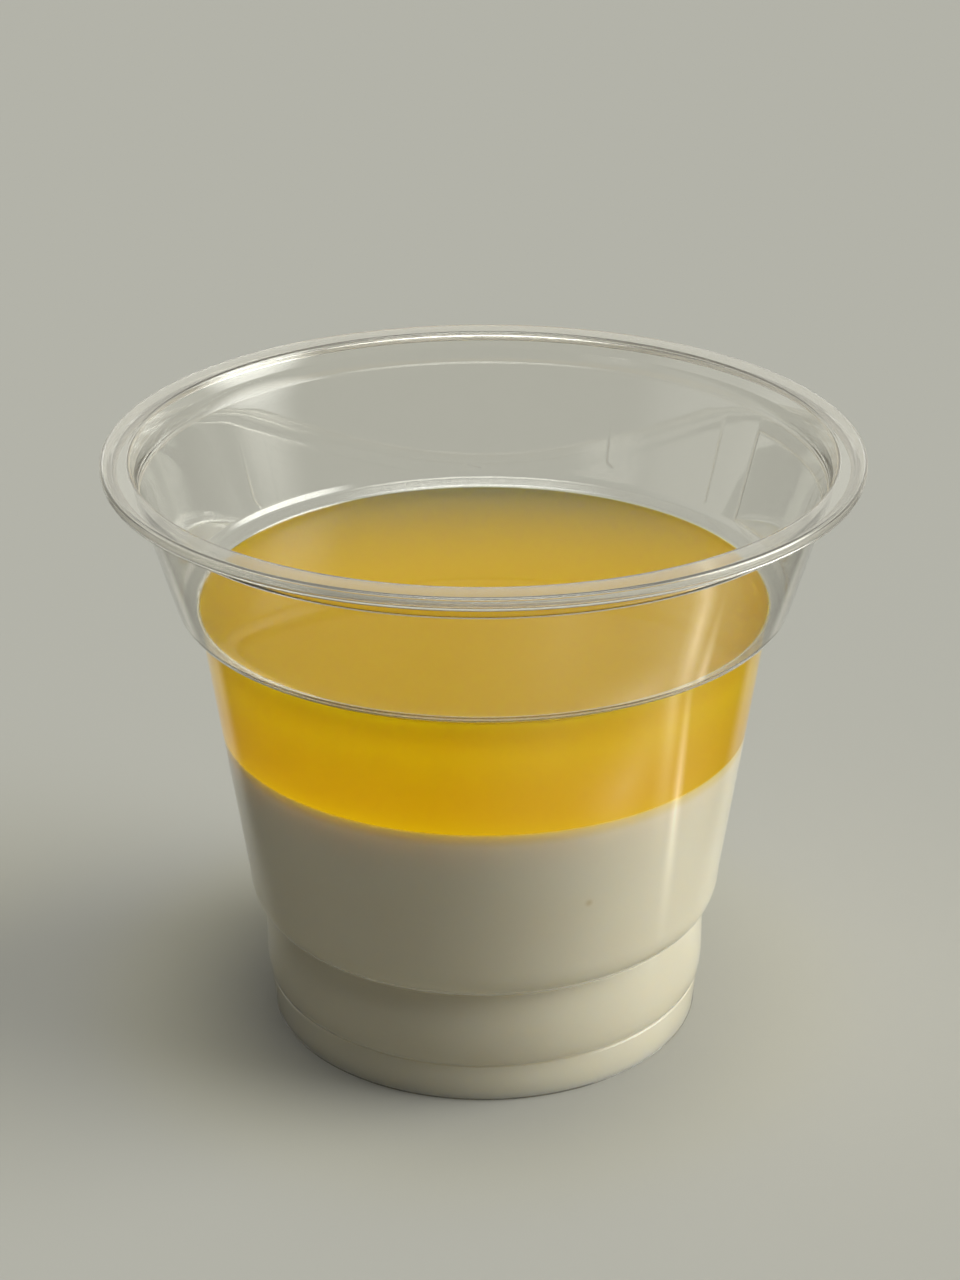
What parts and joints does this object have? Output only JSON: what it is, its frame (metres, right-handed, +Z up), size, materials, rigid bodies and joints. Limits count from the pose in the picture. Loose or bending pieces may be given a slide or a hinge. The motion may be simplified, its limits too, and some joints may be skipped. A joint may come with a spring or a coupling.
{
  "type": "panna cotta in a clear cup",
  "caption": "Two-layer panna cotta, white set cream under yellow fruit jelly, in a clear stepped dessert cup with a rolled rim, open at the top.",
  "frame": {"origin": "centre of the foot ring's underside, on the surface that the cup stands on", "axes": "+Z up along the cup's axis, out of its mouth; the part is turned about Z, so X and Y are alike"},
  "size_m": [0.098, 0.098, 0.0807],
  "materials": {
    "clear_plastic": "clear thermoformed sheet, glossy",
    "set_cream": "smooth set cream, slightly translucent",
    "fruit_jelly": "cloudy yellow jelly with a wet gloss"
  },
  "bodies": {
    "root": {"clear_cup": "clear_plastic", "cream_layer": "set_cream", "jelly_layer": "fruit_jelly"}
  },
  "joints": []
}
